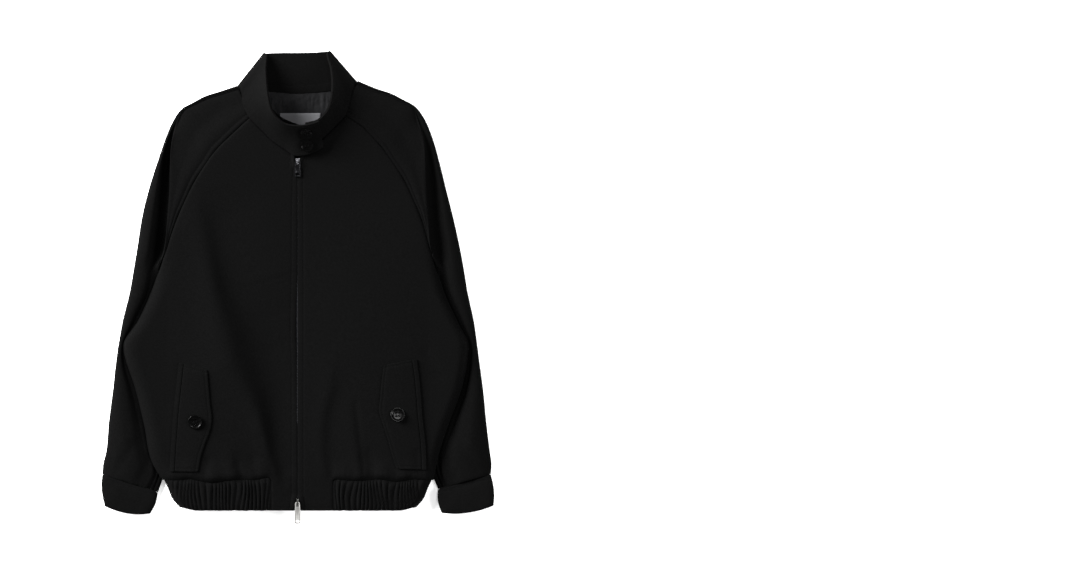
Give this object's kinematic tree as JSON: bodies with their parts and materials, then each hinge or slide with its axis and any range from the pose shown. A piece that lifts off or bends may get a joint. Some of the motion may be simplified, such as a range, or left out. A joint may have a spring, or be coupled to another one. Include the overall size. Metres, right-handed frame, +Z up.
{
  "type": "oversized stand-collar blouson jacket",
  "caption": "Black wool blouson laid flat, front up: buttoned stand collar, raglan sleeves, two-way zip, slanted pockets with buttoned flaps, gathered hem, cuffs with tabs.",
  "frame": {"origin": "centre of the bounding box, on the floor that the jacket lies on", "axes": "+Y from the hem towards the collar, +Z up out of the front, +X to the wearer's left sleeve"},
  "size_m": [0.6461, 0.7797, 0.0602],
  "materials": {
    "wool": "black wool twill, matt with a short nap",
    "lining": "dark grey satin lining",
    "label": "plain grey woven label, left bare",
    "tape": "black woven zip tape",
    "horn": "black horn-look buttons, semi-gloss",
    "gunmetal": "dark gunmetal zip slider and pull",
    "nickel": "bright nickel zip slider and pull"
  },
  "bodies": {
    "jacket": {"front_left": "wool", "front_right": "wool", "back_left": "wool", "back_right": "wool", "sleeve_front_left": "wool", "sleeve_front_right": "wool", "sleeve_back_left": "wool", "sleeve_back_right": "wool", "sleeve_under_left": "wool", "sleeve_under_right": "wool", "cuff_left": "wool", "cuff_right": "wool", "cuff_tab_left": "wool", "cuff_tab_right": "wool", "hem_plain_left": "wool", "hem_plain_right": "wool", "hem_gathered_left": "wool", "hem_gathered_right": "wool", "hem_gathered_back": "wool", "collar": "wool", "pocket_flap_left": "wool", "pocket_flap_right": "wool", "pocket_welt_left": "wool", "pocket_welt_right": "wool", "lining_neck": "lining", "label": "label", "zip_tape_left": "tape", "zip_tape_right": "tape", "button_collar_low": "horn", "button_collar_high": "horn", "button_pocket_left": "horn", "button_pocket_right": "horn", "button_cuff_left": "horn", "button_cuff_right": "horn", "slider_top": "gunmetal", "slider_bottom": "nickel"},
    "top_pull": {"pull_top": "gunmetal"},
    "bottom_pull": {"pull_bottom": "nickel"}
  },
  "joints": [
    {"name": "top_pull_hinge", "type": "hinge", "parent": "jacket", "child": "top_pull", "pos_m": [0, 0.2056, 0.02905], "axis": [-1, 0, 0], "range_deg": [0, 110]},
    {"name": "bottom_pull_hinge", "type": "hinge", "parent": "jacket", "child": "bottom_pull", "pos_m": [0, -0.3549, 0.02664], "axis": [-1, 0, 0], "range_deg": [0, 150]}
  ]
}
